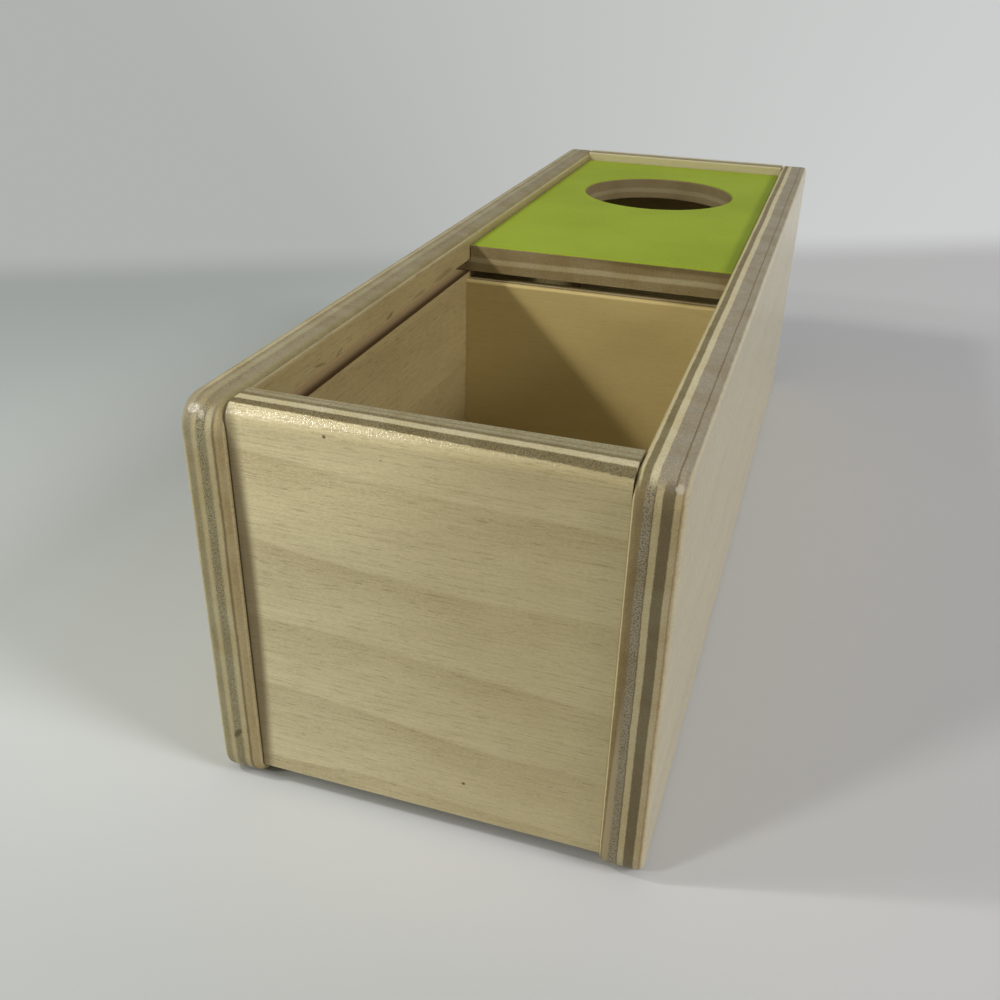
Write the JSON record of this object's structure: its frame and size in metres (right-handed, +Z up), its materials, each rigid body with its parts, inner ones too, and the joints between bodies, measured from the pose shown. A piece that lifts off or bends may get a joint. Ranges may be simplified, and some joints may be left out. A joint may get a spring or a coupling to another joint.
{
  "type": "object permanence box",
  "caption": "Long plywood toy box with rounded side boards, an open front well and a green captive sliding lid with a round ball hole over the rear well",
  "frame": {"origin": "centre of the footprint on the floor, under the bottom edges of the side boards", "axes": "+Z up, +Y from the open front well to the covered rear well, +X to the right seen from the front"},
  "size_m": [0.092, 0.28, 0.088],
  "materials": {
    "lacquered_plywood": "clear satin lacquer on plywood",
    "green_plywood": "green satin paint on top, bare plywood edges",
    "beech": "plain turned beech"
  },
  "bodies": {
    "box": {"left_side": "lacquered_plywood", "right_side": "lacquered_plywood", "front_panel": "lacquered_plywood", "rear_panel": "lacquered_plywood", "divider": "lacquered_plywood", "bottom_panel": "lacquered_plywood", "front_dowels": "beech", "rear_dowels": "beech"},
    "lid": {"sliding_lid": "green_plywood"}
  },
  "joints": [
    {"name": "lid_slide", "type": "slide", "parent": "box", "child": "lid", "axis": [0, -1, 0], "range_m": [0, 0.11975]}
  ]
}
